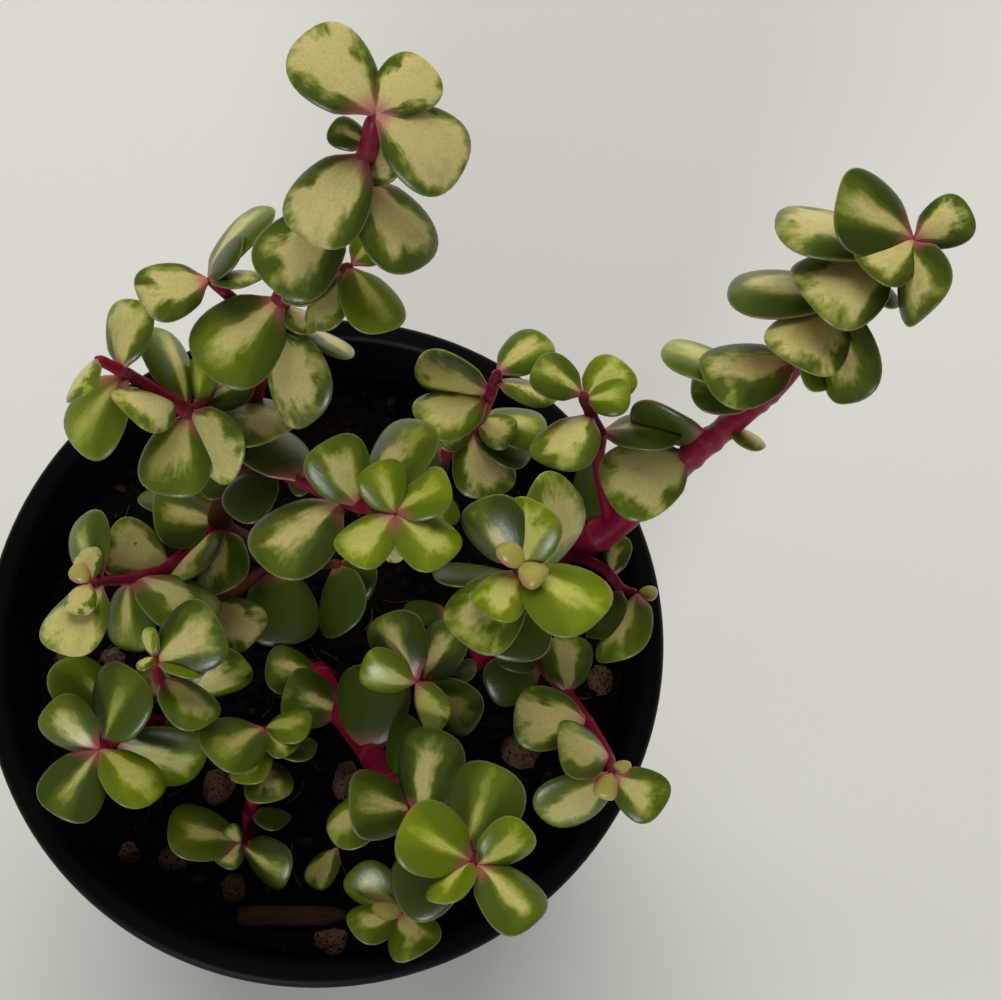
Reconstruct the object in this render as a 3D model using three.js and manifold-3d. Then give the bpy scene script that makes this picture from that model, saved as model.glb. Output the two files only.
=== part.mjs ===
// Elephant bush (variegated Portulacaria afra) in a round plastic nursery pot.
// Millimetres, +Z up, origin at the middle of the pot's underside.

import * as THREE from "three";
import { mergeVertices } from "three/addons/utils/BufferGeometryUtils.js";
import Module from "manifold-3d";

const wasm = await Module();
wasm.setup();

// ---------- driving dimensions ----------

const POT = {
  rimRadius: 52.5, // outside of the lip
  lipWidth: 3.6,
  lipHeight: 1.6, // the lip's rounding
  collarRadius: 51.3, // the upright band under the lip
  collarHeight: 11,
  collarDraft: 0.3, // how much the band widens towards the lip
  neckInset: 1, // how much narrower the inside is at the band's foot than at the lip
  height: 90,
  footRadius: 38,
  bevel: 1,
  wall: 1.4,
  floor: 2,
  drainHoles: 6,
  drainRadius: 3.5,
  drainCircle: 29,
  drillSides: 12,
  sides: 36,
};

const MIX = {
  top: 76.3,
  relief: 0.8, // how far its lumps rise and fall
  edge: 2, // the depth over which its top spreads to the wall
  rings: 4,
};

const GAP = 0.3; // between pieces that touch

const LEAF = {
  width: 0.88, // of the length
  baseWidth: 0.66, // how much of the width the foot half keeps
  tipWidth: 0.28, // how much the tip half adds
  thickness: 1.0, // plus a share of the length
  thicknessShare: 0.06,
  curl: 0.08, // how far it arches between foot and tip, of the length
  edge: 0.45, // share of the thickness left at its rim
  sides: 10,
  smallSides: 8,
  small: 10.6, // a leaf shorter than this has the fewer sides
};

const STEM = { sides: 6, step: 8, fewestSteps: 3, section: 0.2 };

const STONE = {
  roughness: 0.16, // how deep its dents are, of its radius
  rise: 0.25, // how high its middle lies above the mix, of its height
};

// ---------- the plants ----------
// A shoot has the points its stem runs through, its thickness at foot and tip, and its leaves.
// A leaf row holds how far along the stem the leaf stands, the heading it points to seen from
// above (0 is +X, 90 is +Y), its lift above level, its length, and its turn about its own axis.

const PLANTS = {
  stem_tall: [
    { // the brown foot, which every other shoot of this plant leaves
      route: [[-3, 12.5, 68], [-7.5, 13.5, 78], [-12, 15, 88], [-15.5, 16, 98], [-11.5, 20, 110],
        [-9.5, 24, 118]],
      thick: [4.2, 3.2],
      leaves: [
        [15, -80, -10, 13.5, 0], [31, -85, 15, 11.5, 30], [32, -120, 25, 14, 50],
        [33, 150, -20, 14, 50], [32, 180, 40, 12, 10], [45, -155, 15, 5.5, 20],
      ],
    },
    { // the tallest shoot, leaning back
      route: [[-9.5, 24, 118], [-7, 28.5, 126], [-2.5, 35, 140], [5, 40, 152], [10, 45, 162],
        [12, 48, 170]],
      thick: [3, 2.4],
      leaves: [
        [62, 135, 15, 13, 10], [62, 45, 0, 9.5, 10], [62, -25, -25, 13, 0],
        [56, 150, 5, 5.5, 10], [51, 10, 40, 7, 0], [55, -130, -10, 13.5, 10],
        [51, -55, -15, 14, -30], [45, -135, -10, 13.5, 0], [27, -135, -5, 14.5, 0],
        [22, -65, -5, 15, 50], [22, -20, -10, 12, -60], [25, -35, 5, 6.5, -40],
      ],
    },
    { // a short bright side shoot near its top
      route: [[1.5, 37, 146], [5.5, 36.5, 148], [8, 36.5, 150]],
      thick: [1.6, 1.2],
      leaves: [
        [8, 50, -5, 6.5, 0], [7, -60, 0, 10.5, -30], [6, -110, -5, 9, 40],
        [5, -135, 15, 8.5, 40],
      ],
    },
    { // upper left shoot
      route: [[-4.5, 32, 133], [-8, 35.5, 138], [-12, 38, 142]],
      thick: [2.2, 1.4],
      leaves: [
        [13, -155, 15, 10, 0], [13, 55, 0, 13, -50], [13, 30, 40, 7.8, -40],
        [13, -10, 20, 8, -50],
      ],
    },
    { // long left shoot: a full rosette, then a bare magenta length
      route: [[-9.5, 24, 118], [-12.5, 27, 122], [-16, 24.5, 126], [-18, 25, 128],
        [-22.5, 27, 132], [-27.5, 28.5, 137]],
      thick: [2.6, 1.5],
      leaves: [
        [15, -145, 50, 10.5, 10], [12, -105, -5, 12.5, 10], [12, -50, 10, 12, 50],
        [6, -35, 30, 14, -30], [10, 85, 20, 7.5, -40], [9, 25, 20, 8.5, -30],
        [13, 110, 0, 13, 60], [28, -110, 15, 7.5, 50], [24, 80, 15, 10, -30],
        [23, -130, -25, 13, 20],
      ],
    },
    { // the shoot that crosses the middle of the pot
      route: [[-11.5, 20, 110], [-6, 19.5, 116], [0, 15, 123], [6, 10.5, 129], [13.5, 7, 135]],
      thick: [2.6, 1.6],
      leaves: [
        [38, 115, 35, 7.8, 0], [38, 27, 20, 8.8, -20], [38, -135, 10, 9.5, 20],
        [38, -43, 5, 10, -20], [38, -95, -20, 6.5, 50], [31, 120, 35, 10.5, 0],
        [28, -140, 5, 14.5, 20], [34, 65, 0, 14, -40], [18, 130, -20, 12, 30],
        [14, -45, 10, 4, 0], [10, -130, 0, 9.5, 20],
      ],
    },
    { // low left shoot
      route: [[-15.5, 16, 98], [-22, 8.5, 102], [-26.5, 5.5, 106], [-30, 4, 110],
        [-31.5, 3, 113]],
      thick: [2.4, 1.4],
      leaves: [
        [17, -35, 10, 13.5, -40], [18, -95, -25, 11, 30], [11, 165, 40, 11, 0],
        [24, 110, -10, 11, -40], [24, -115, 5, 12, 20], [26, 105, -10, 5.5, -20],
        [27, -110, 15, 5.5, 10], [27, 140, 15, 3.5, 0],
      ],
    },
    { // shaded shoot, left
      route: [[-9.5, 13.5, 83], [-13.5, 8, 88], [-17.5, 4, 94], [-19, -3.5, 98],
        [-19.5, -10, 98]],
      thick: [2, 1.4],
      leaves: [[16, -40, 15, 10.5, 0], [32, 25, 15, 10.5, 50]],
    },
    { // shaded shoot, right
      route: [[-8.5, 13.5, 80], [-0.5, 12.5, 86], [2.5, 10.5, 94]],
      thick: [1.8, 1.4],
      leaves: [[17, -80, 15, 12, 40], [16, -35, 15, 8, 30]],
    },
  ],

  stem_left: [
    { // outward shoot with the big flat rosette
      route: [[-21.5, -11.5, 68], [-23.5, -12.5, 78], [-26.5, -13, 88], [-30, -16.5, 95],
        [-31.5, -19, 100]],
      thick: [3, 1.8],
      leaves: [
        [33, 65, 30, 13, -20], [35, 140, 15, 10, -30], [35, -120, 10, 11.5, 0],
        [35, -40, 0, 11.5, -40], [30, -15, -20, 14, 50], [29, 125, 5, 14.5, 50],
      ],
    },
    { // upright shoot
      route: [[-23.5, -12.5, 78], [-22, -11, 96], [-22, -9.5, 108], [-21.5, -8, 114]],
      thick: [2.2, 1.5],
      leaves: [
        [35, 25, 25, 11.8, 10], [35, -10, 0, 7.5, -50], [29, -40, 5, 10.5, -40],
        [36, 105, 15, 4.5, -50], [36, -140, 20, 3, 40], [15, -60, 15, 7.5, 0],
        [15, 120, 15, 8, 0],
      ],
    },
  ],

  stem_front_left: [
    { // upright shoot at the front left
      route: [[-13, -30, 68], [-12, -29, 77], [-11, -25.5, 84], [-8.5, -19.5, 92],
        [-7.5, -15.5, 99]],
      thick: [2.4, 1.5],
      leaves: [
        [35, -145, 40, 11.5, 10], [35, 5, 15, 7.5, -30], [35, -40, 15, 6, -30],
        [33, -110, 15, 8, 30], [32, -10, 0, 8, -50], [28, -75, 30, 8.5, 0],
        [16, -15, 10, 6.5, -50],
      ],
    },
    { // its lowest side shoot, close to the mix
      route: [[-12, -29, 77.5], [-12, -30.5, 82], [-12, -31, 86]],
      thick: [1.8, 1.4],
      leaves: [
        [9, 170, 20, 11.5, 30], [6, -35, 15, 9.5, 40], [9, 135, 30, 3.5, 0], [9, -125, 25, 5, 10],
      ],
    },
  ],

  stem_front: [
    { // thick magenta shoot that comes forward
      route: [[-6, 3, 66], [-2, -3.5, 76], [3, -11, 83], [10, -21.5, 94], [17, -31, 105],
        [24, -37, 114]],
      thick: [5, 2.6],
      leaves: [
        [69, 155, 25, 12, 0], [67, 70, 15, 13.5, -20], [70, 35, 15, 9, 40],
        [70, -45, 5, 11.5, -30], [69, -130, 25, 8.5, 50], [68, -155, -20, 12.2, 10],
        [52, 175, 40, 11.8, 10], [55, 80, 15, 13.5, -30], [46, -145, -5, 12, 40],
        [36, 90, 15, 14, -20], [44, 75, 15, 10.5, -50], [23, 165, 30, 10.5, 0],
        [14, 168, 26, 9.5, 12],
      ],
    },
    { // a drooping side shoot by the rim
      route: [[17, -31, 105], [16.5, -36, 94], [13, -40.5, 88], [12.5, -42, 90]],
      thick: [2, 1.4],
      leaves: [
        [21, 145, 20, 10, -40], [23, -160, 25, 8.5, 30], [23, -60, 40, 9.5, 0],
        [22, -165, 35, 5, 20],
      ],
    },
  ],

  stem_right: [
    { // upright shoot right of the middle
      route: [[30.5, 1.5, 68], [30.5, 2, 78], [30.5, 1.5, 108], [30, 0.5, 132]],
      thick: [4, 2],
      leaves: [
        [64, 125, 40, 4.6, 0], [64, -40, 35, 4.6, 0], [64, 70, 40, 10, -20],
        [62, -125, 15, 8.5, 10], [62, -35, 15, 13.5, -20], [60, -130, 0, 12.5, 10],
        [52, -95, 0, 11, 0], [64, 125, 25, 11, -40], [61, 60, -5, 14.5, 50],
        [54, 175, 5, 12.5, 60], [36, -10, 15, 8.5, 10], [36, 170, 15, 8, -10],
        [20, 80, 20, 8, 10], [20, -100, 10, 7.5, -10],
      ],
    },
    { // small rosette left of it
      route: [[30.5, 2, 78], [24, -3.5, 87], [19, -8.5, 96], [15, -9.5, 103]],
      thick: [2.4, 1.5],
      leaves: [
        [32, 115, 15, 11, -30], [32, 165, 10, 8.5, -40], [32, -60, 15, 8.5, 50],
        [30, -35, 0, 10, 40], [30, 60, 15, 10, -30], [28, 20, 15, 7.5, -50],
      ],
    },
    { // its one-leaf twig
      route: [[24, -3.5, 87], [21.5, 2, 85], [19.5, 4.5, 86]],
      thick: [1.4, 1.2],
      leaves: [[10, 180, 10, 7.5, 40]],
    },
    { // low shoot towards the rim
      route: [[30.5, 2, 78], [35, -5.5, 88], [39.5, -12.5, 94], [43, -19.4, 99],
        [43.5, -23.3, 102]],
      thick: [2.4, 1.4],
      leaves: [
        [19, 90, 15, 9, 0], [10, -155, 0, 9.5, -30], [26, 175, 10, 11.5, 0],
        [34, 170, 40, 10.5, 20], [37, -150, -20, 12.5, -50], [37, -35, 0, 9, 10],
        [36, 0, 15, 3, -30], [37, -110, 15, 4.2, 0],
      ],
    },
    { // the longest shoot, far out to the right
      route: [[30.5, 2, 79], [34, 11, 94], [43.5, 13.5, 104], [54, 19.5, 120], [61.5, 22.5, 134],
        [65, 24, 142], [71, 30.5, 150], [76, 34, 154], [79.5, 36.5, 158]],
      thick: [6, 1.7],
      leaves: [
        [53, -155, -5, 13.5, 0], [58, 160, -5, 12, -80], [80, -165, 5, 13, 20],
        [70, 170, 5, 9.5, 30], [73, 155, 0, 15.5, 50], [62, -35, 5, 6, -50],
        [89, -130, 20, 12.5, 10], [91, 170, -10, 15.5, 40], [98, -150, 15, 14, 10],
        [100, 165, 0, 16.5, 40], [90, -85, -15, 13, 60], [81, -65, 0, 5.5, -40],
        [95, -60, 5, 5, -40], [103, 165, 30, 13, 0], [103, 25, 15, 8, 0],
        [103, -140, 20, 9.5, 5], [102, -85, 15, 11.5, 60], [30, 95, 15, 11, -50],
      ],
    },
    { // side shoot that stands up behind it
      route: [[44, 13.5, 104], [41.5, 20, 116], [41.5, 22.5, 121], [40, 24, 126],
        [38.5, 26, 130]],
      thick: [2.4, 1.5],
      leaves: [
        [29, 150, 15, 8, 10], [28, 45, -10, 8.5, 0], [28, 0, 15, 6.5, 0],
        [25, -125, 15, 11, 20], [20, 0, 10, 12, -40],
      ],
    },
    { // twig just inside the rim
      route: [[38.5, 11, 98], [43, 8.5, 99], [45.5, 5.5, 99], [48, 4.5, 100]],
      thick: [1.8, 1.3],
      leaves: [
        [12, -110, 15, 12.5, 50], [7, 80, 5, 6.5, -40], [12, -5, 20, 3, -30],
        [9, -115, 5, 9, 50],
      ],
    },
  ],

  stem_back: [
    { // a single upright stem
      route: [[14.5, 25, 68], [16, 25.5, 78], [18.5, 27.5, 94], [24, 28.5, 110],
        [25.5, 29, 118], [27, 30.5, 126]],
      thick: [2.6, 1.6],
      leaves: [
        [54, 160, 10, 11.5, -70], [52, -155, 10, 11.2, 20], [59, 40, 0, 9, -20],
        [57, -20, 5, 9.5, -50], [43, -30, 15, 6.5, 10], [40, -75, -5, 11, -10],
        [41, -155, 15, 6.5, 0], [43, -5, -10, 10.5, -30], [40, -30, -5, 10, -40],
        [28, -170, 15, 8, -10], [15, 100, 20, 8, 0], [15, -80, 10, 7.5, 0],
      ],
    },
  ],
};

// ---------- what lies loose on the mix ----------
// A stone has its place in plan and its three sizes.

const STONES = [
  { at: [-17.1, -21.6], size: [5.6, 5.8, 4.6] },
  { at: [3.1, -20.4], size: [4.6, 6.4, 4.4] },
  { at: [-14.2, -36.9], size: [4.2, 4.2, 3.2] },
  { at: [-23.4, -32.7], size: [5, 4.4, 3.4] },
  { at: [1.3, -45], size: [5.2, 4.4, 3.6] },
  { at: [30.7, -15.6], size: [7, 6, 4.8] },
  { at: [43.2, -4.4], size: [4.2, 5, 3.6] },
  { at: [-42.2, -0.5], size: [4, 4.6, 3.4] },
  { at: [-30.5, -31.5], size: [3.4, 3.2, 2.8] },
  { at: [-34.7, -0.5], size: [4.2, 3.6, 3] },
];

const BARK = {
  from: [-13.2, -41.3],
  length: 16.4,
  width: 3.4,
  thickness: 1.8,
  sunk: 0.5,
  splinter: 1, // how far its broken ends run back
};

const FALLEN_LEAF = { at: [2, -30.9, 78], heading: -122, lift: 0, length: 7.2, turn: 35 };

// ---------- solids ----------

/** A closed three.js geometry as a manifold-3d solid, its faces turned outwards. */
function solidOf(geometry) {
  const bare = geometry.clone();
  bare.deleteAttribute("normal");
  bare.deleteAttribute("uv");
  const merged = mergeVertices(bare, 1e-4);
  const position = merged.getAttribute("position");
  const index = merged.getIndex().array;
  const triVerts = [];
  let volume = 0;
  const [a, b, c] = [new THREE.Vector3(), new THREE.Vector3(), new THREE.Vector3()];
  for (let i = 0; i < index.length; i += 3) {
    const [p, q, r] = [index[i], index[i + 1], index[i + 2]];
    if (p === q || q === r || r === p) continue;
    triVerts.push(p, q, r);
    a.fromBufferAttribute(position, p);
    b.fromBufferAttribute(position, q);
    c.fromBufferAttribute(position, r);
    volume += a.dot(b.cross(c));
  }
  if (volume < 0) triVerts.reverse();
  return new wasm.Manifold(new wasm.Mesh({
    numProp: 3,
    vertProperties: new Float32Array(position.array),
    triVerts: new Uint32Array(triVerts),
  }));
}

/** Joins solids and keeps the one body they make. */
function joined(solids) {
  const whole = solids.reduce((sum, solid) => sum.add(solid));
  const bodies = whole.decompose();
  return bodies.reduce((best, body) => (body.volume() > best.volume() ? body : best));
}

/** A named mesh of a solid. */
function meshOf(name, solid, material) {
  const { vertProperties, triVerts } = solid.getMesh();
  const geometry = new THREE.BufferGeometry();
  geometry.setAttribute("position", new THREE.BufferAttribute(vertProperties, 3));
  geometry.setIndex(new THREE.BufferAttribute(triVerts, 1));
  geometry.computeVertexNormals();
  const mesh = new THREE.Mesh(geometry, material);
  mesh.name = name;
  return mesh;
}

/** A solid of revolution about +Z from a closed profile of [radius, height] pairs. */
function turned(profile, sides) {
  const points = profile.map(([radius, height]) => new THREE.Vector2(radius, height));
  return new THREE.LatheGeometry(points, sides).rotateX(Math.PI / 2);
}

// ---------- stems and leaves ----------

/** The smooth line that a shoot's stem follows. */
function stemCurve(route) {
  const points = route.map((point) => new THREE.Vector3(...point));
  return new THREE.CatmullRomCurve3(points, false, "catmullrom", 0.5);
}

/** A stem along a curve, its thickness running evenly from foot to tip. */
function stemSolid(curve, [foot, tip], extra = 0) {
  const section = new THREE.Shape();
  for (let k = 0; k < STEM.sides; k += 1) {
    const angle = (2 * Math.PI * k) / STEM.sides;
    const [x, y] = [STEM.section * Math.cos(angle), STEM.section * Math.sin(angle)];
    if (k === 0) section.moveTo(x, y);
    else section.lineTo(x, y);
  }
  const steps = Math.max(STEM.fewestSteps, Math.round(curve.getLength() / STEM.step));
  const geometry = new THREE.ExtrudeGeometry(section, { steps, extrudePath: curve });
  const stations = curve.getSpacedPoints(steps);
  const position = geometry.getAttribute("position");
  const vertex = new THREE.Vector3();
  for (let i = 0; i < position.count; i += 1) {
    vertex.fromBufferAttribute(position, i);
    const gaps = stations.map((station) => station.distanceTo(vertex));
    const near = gaps.indexOf(Math.min(...gaps));
    const radius = (foot + ((tip - foot) * near) / steps) / 2 + extra;
    vertex.sub(stations[near]).multiplyScalar(radius / STEM.section).add(stations[near]);
    position.setXYZ(i, vertex.x, vertex.y, vertex.z);
  }
  return solidOf(geometry);
}

/** The direction of a heading seen from above and a lift above level, in degrees. */
function direction(heading, lift) {
  const turn = THREE.MathUtils.degToRad(heading);
  const rise = THREE.MathUtils.degToRad(lift);
  return new THREE.Vector3(
    Math.cos(rise) * Math.cos(turn), Math.cos(rise) * Math.sin(turn), Math.sin(rise));
}

/** A thick round leaf: a disc, domed on both faces, drawn out so that it is narrow at its foot. */
function leafSolid(foot, heading, lift, length, turn, extra = 0) {
  const along = direction(heading, lift);
  const face = new THREE.Vector3(0, 0, 1).addScaledVector(along, -along.z).normalize();
  const side = new THREE.Vector3().crossVectors(face, along);
  face.applyAxisAngle(along, THREE.MathUtils.degToRad(turn));
  side.applyAxisAngle(along, THREE.MathUtils.degToRad(turn));
  const halfWidth = (LEAF.width * length) / 2 + extra;
  const halfThick = (LEAF.thickness + LEAF.thicknessShare * length) / 2 + extra;
  const disc = new THREE.LatheGeometry([
    new THREE.Vector2(0, -1),
    new THREE.Vector2(1, -LEAF.edge),
    new THREE.Vector2(1, LEAF.edge),
    new THREE.Vector2(0, 1),
  ], length < LEAF.small ? LEAF.smallSides : LEAF.sides);
  const position = disc.getAttribute("position");
  const vertex = new THREE.Vector3();
  for (let i = 0; i < position.count; i += 1) {
    const [x, y, z] = [position.getX(i), position.getY(i), position.getZ(i)];
    const reach = (length * (1 + x)) / 2 + extra * x;
    const taper = LEAF.baseWidth + LEAF.tipWidth * (1 + x);
    const share = (1 + x) / 2;
    const arch = LEAF.curl * length * share * (1 - share);
    vertex.copy(foot)
      .addScaledVector(along, reach)
      .addScaledVector(side, z * taper * halfWidth)
      .addScaledVector(face, y * halfThick + arch);
    position.setXYZ(i, vertex.x, vertex.y, vertex.z);
  }
  return solidOf(disc);
}

/** Every stem and leaf of one plant, grown together in one body. */
function plantSolid(shoots) {
  const solids = [];
  for (const { route, thick, leaves } of shoots) {
    const curve = stemCurve(route);
    const span = curve.getLength();
    solids.push(stemSolid(curve, thick));
    for (const [at, heading, lift, length, turn] of leaves) {
      const foot = curve.getPointAt(Math.min(at / span, 1));
      solids.push(leafSolid(foot, heading, lift, length, turn));
    }
  }
  return joined(solids);
}

// ---------- pot ----------

/** The pot's radius inside at a height. */
function insideRadius(height) {
  const collarFoot = POT.height - POT.collarHeight;
  const bottom = POT.footRadius - POT.wall;
  const top = POT.rimRadius - POT.lipWidth;
  const neck = top - POT.neckInset;
  if (height < collarFoot) return bottom + ((neck - bottom) * height) / collarFoot;
  return neck + ((top - neck) * (height - collarFoot)) / POT.collarHeight;
}

/** Thin tapered wall with an upright collar, a rounded lip and drain holes in its floor. */
function potSolid() {
  const collarFoot = POT.height - POT.collarHeight;
  const lipFoot = POT.height - POT.lipHeight;
  const edge = 0.5 * POT.lipHeight;
  const profile = [
    [0, 0],
    [POT.footRadius - POT.bevel, 0],
    [POT.footRadius, POT.bevel],
    [insideRadius(collarFoot) + POT.wall, collarFoot],
    [POT.collarRadius, collarFoot + POT.bevel],
    [POT.collarRadius + POT.collarDraft, lipFoot - edge],
    [POT.rimRadius, lipFoot],
    [POT.rimRadius, POT.height - edge],
    [POT.rimRadius - edge, POT.height],
    [POT.rimRadius - POT.lipWidth + edge, POT.height],
    [insideRadius(POT.height - edge), POT.height - edge],
    [insideRadius(collarFoot), collarFoot],
    [insideRadius(POT.floor), POT.floor],
    [0, POT.floor],
  ];
  let pot = solidOf(turned(profile, POT.sides));
  for (let k = 0; k < POT.drainHoles; k += 1) {
    const angle = (2 * Math.PI * k) / POT.drainHoles;
    const drill = new THREE.CylinderGeometry(
      POT.drainRadius, POT.drainRadius, 4 * POT.floor, POT.drillSides)
      .rotateX(Math.PI / 2)
      .translate(POT.drainCircle * Math.cos(angle), POT.drainCircle * Math.sin(angle), 0);
    pot = pot.subtract(solidOf(drill));
  }
  return pot;
}

// ---------- loose pieces ----------

/** Evenly spread draws from 0 to 1, the same ones for the same seed. */
function draws(seed) {
  let state = seed;
  return () => {
    state = (state * 16807) % 2147483647;
    return state / 2147483647;
  };
}

/** A rough pumice stone, its lower part sunk in the mix. */
function stoneSolid({ at, size }, seed, extra = 0) {
  const draw = draws(seed);
  const ball = new THREE.DodecahedronGeometry(1);
  const position = ball.getAttribute("position");
  const dents = new Map();
  for (let i = 0; i < position.count; i += 1) {
    const corner = [position.getX(i), position.getY(i), position.getZ(i)];
    const key = corner.map((value) => value.toFixed(3)).join();
    if (!dents.has(key)) dents.set(key, 1 - STONE.roughness * draw());
    const dent = dents.get(key);
    position.setXYZ(
      i,
      at[0] + corner[0] * dent * (size[0] / 2 + extra),
      at[1] + corner[1] * dent * (size[1] / 2 + extra),
      MIX.top + STONE.rise * size[2] + corner[2] * dent * (size[2] / 2 + extra));
  }
  return solidOf(ball);
}

/** A flat splinter of bark with broken ends. */
function barkSolid(extra = 0) {
  const [left, right] = [-extra, BARK.length + extra];
  const [low, high] = [-BARK.width / 2 - extra, BARK.width / 2 + extra];
  const outline = new THREE.Shape();
  outline.moveTo(left, low + BARK.splinter);
  outline.lineTo(left + 2 * BARK.splinter, low);
  outline.lineTo(right - BARK.splinter, low);
  outline.lineTo(right, high - BARK.splinter);
  outline.lineTo(right - 3 * BARK.splinter, high);
  outline.lineTo(left + BARK.splinter, high);
  const slab = new THREE.ExtrudeGeometry(outline, {
    depth: BARK.thickness + 2 * extra,
    bevelEnabled: false,
  });
  slab.translate(BARK.from[0], BARK.from[1], MIX.top - BARK.sunk - extra);
  return solidOf(slab);
}

/** The leaf that has dropped and lies on the mix. */
function fallenLeafSolid(extra = 0) {
  const { at, heading, lift, length, turn } = FALLEN_LEAF;
  return leafSolid(new THREE.Vector3(...at), heading, lift, length, turn, extra);
}

// ---------- potting mix ----------

/** Height of the mix's lumps at a place in plan. */
function relief(x, y) {
  const broad = Math.sin(0.21 * x + 0.8) * Math.cos(0.17 * y - 0.4);
  const fine = Math.sin(0.53 * x - 0.31 * y) * Math.cos(0.47 * y + 0.9);
  return MIX.relief * (0.6 * broad + 0.4 * fine);
}

/** The mix fills the pot, with a hole for each stem and a hollow for each loose piece. */
function mixSolid() {
  const base = POT.floor + GAP;
  const profile = [[0, base], [insideRadius(base) - GAP, base]];
  profile.push([insideRadius(MIX.top - MIX.edge) - GAP, MIX.top - MIX.edge]);
  for (let ring = MIX.rings; ring >= 0; ring -= 1) {
    profile.push([((insideRadius(MIX.top) - 2 * GAP) * ring) / MIX.rings, MIX.top]);
  }
  const geometry = turned(profile, POT.sides);
  const position = geometry.getAttribute("position");
  for (let i = 0; i < position.count; i += 1) {
    if (position.getZ(i) < MIX.top - MIX.edge / 2) continue;
    position.setZ(i, MIX.top + relief(position.getX(i), position.getY(i)));
  }
  let mix = solidOf(geometry);
  for (const [{ route, thick }] of Object.values(PLANTS)) {
    const foot = new THREE.Vector3(...route[0]);
    const next = new THREE.Vector3(...route[1]);
    const lower = foot.clone().sub(next).setLength(2 * GAP).add(foot);
    const hole = stemCurve([lower.toArray(), ...route]);
    mix = mix.subtract(stemSolid(hole, thick, 2 * GAP));
  }
  STONES.forEach((stone, k) => {
    mix = mix.subtract(stoneSolid(stone, k + 1, GAP));
  });
  mix = mix.subtract(barkSolid(GAP));
  mix = mix.subtract(fallenLeafSolid(GAP));
  return joined([mix]);
}

// ---------- materials ----------

const blackPlastic = new THREE.MeshStandardMaterial({ color: 0x17181a, roughness: 0.42 });
const darkMix = new THREE.MeshStandardMaterial({ color: 0x1b130e, roughness: 0.95 });
const foliage = new THREE.MeshStandardMaterial({
  color: 0x8f9a48, roughness: 0.38, flatShading: true,
});
const pumice = new THREE.MeshStandardMaterial({ color: 0x6e5240, roughness: 0.9 });
const bark = new THREE.MeshStandardMaterial({ color: 0x4a3226, roughness: 0.9 });

// ---------- the object ----------

const group = new THREE.Group();
group.add(meshOf("pot", potSolid(), blackPlastic));
group.add(meshOf("potting_mix", mixSolid(), darkMix));
for (const [name, shoots] of Object.entries(PLANTS)) {
  group.add(meshOf(name, plantSolid(shoots), foliage));
}
STONES.forEach((stone, k) => {
  group.add(meshOf(`stone_${k + 1}`, stoneSolid(stone, k + 1), pumice));
});
group.add(meshOf("bark_chip", barkSolid(), bark));
group.add(meshOf("fallen_leaf", fallenLeafSolid(), foliage));

export default group;
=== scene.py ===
import math

import bmesh
import bpy
from mathutils import Matrix, Vector, geometry, noise


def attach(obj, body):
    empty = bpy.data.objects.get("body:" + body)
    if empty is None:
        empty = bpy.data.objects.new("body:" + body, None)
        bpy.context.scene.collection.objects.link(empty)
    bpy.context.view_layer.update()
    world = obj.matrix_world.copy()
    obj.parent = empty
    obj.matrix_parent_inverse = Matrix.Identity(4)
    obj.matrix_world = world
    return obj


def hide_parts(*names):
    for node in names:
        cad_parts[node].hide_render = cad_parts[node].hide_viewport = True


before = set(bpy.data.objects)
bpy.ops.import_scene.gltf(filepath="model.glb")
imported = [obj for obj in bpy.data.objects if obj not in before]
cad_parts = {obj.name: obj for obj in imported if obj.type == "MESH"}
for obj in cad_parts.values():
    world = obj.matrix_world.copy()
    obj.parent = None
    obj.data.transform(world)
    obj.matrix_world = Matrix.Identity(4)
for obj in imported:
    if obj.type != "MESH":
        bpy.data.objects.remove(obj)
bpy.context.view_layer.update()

# ---------- Nursery pot ----------
# A thin black growing pot, moulded in polypropylene: a tapered wall, an upright collar for
# stacking, a rounded lip and six drain holes in its floor. It stands by itself and holds the rest.

scene = bpy.context.scene
# The pot, the mix and the plants are measured in millimetres.
MM = 0.001
POT_HEIGHT = 90
POT_FLOOR = 2
COLLAR_FOOT = 79
LIP_SHOULDER = 89.2
# Half of the pot's section as radius and height: up the outside, over the lip, down the inside.
POT_PROFILE = [
    (0, 0), (37, 0), (38, 1), (49.3, COLLAR_FOOT), (51.3, COLLAR_FOOT + 1), (51.6, 87.6),
    (52.5, 88.4), (52.5, LIP_SHOULDER), (51.7, POT_HEIGHT), (49.7, POT_HEIGHT),
    (48.83, LIP_SHOULDER), (47.9, COLLAR_FOOT), (36.88, POT_FLOOR), (0, POT_FLOOR),
]
POT_STEPS = 144
# Its corners are rounded, apart from those nearer to its axis than this.
CORNER = 0.5
CORNERS_BEYOND = 30
DRAIN_HOLES = 6
DRAIN_RADIUS = 3.5
DRAIN_CIRCLE = 29
PLASTIC_BLACK = (0.0018, 0.0019, 0.0021)
SCUFFED_BLACK = (0.0035, 0.0036, 0.004)


class Signal:
    """A socket of a finish's nodes. Sums and products of signals add the maths nodes they need."""

    def __init__(self, finish, socket):
        self.finish = finish
        self.socket = socket

    def __add__(self, other):
        return self.finish.maths("ADD", self, other)

    __radd__ = __add__

    def __mul__(self, other):
        return self.finish.maths("MULTIPLY", self, other)

    __rmul__ = __mul__

    def __sub__(self, other):
        return self.finish.maths("SUBTRACT", self, other)

    def __rsub__(self, other):
        return self.finish.maths("SUBTRACT", other, self)

    def __truediv__(self, other):
        return self.finish.maths("DIVIDE", self, other)

    def __pow__(self, power):
        return self.finish.maths("POWER", self, power)

    def __abs__(self):
        return self.finish.maths("ABSOLUTE", self)

    def most(self, other):
        return self.finish.maths("MAXIMUM", self, other)


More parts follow.
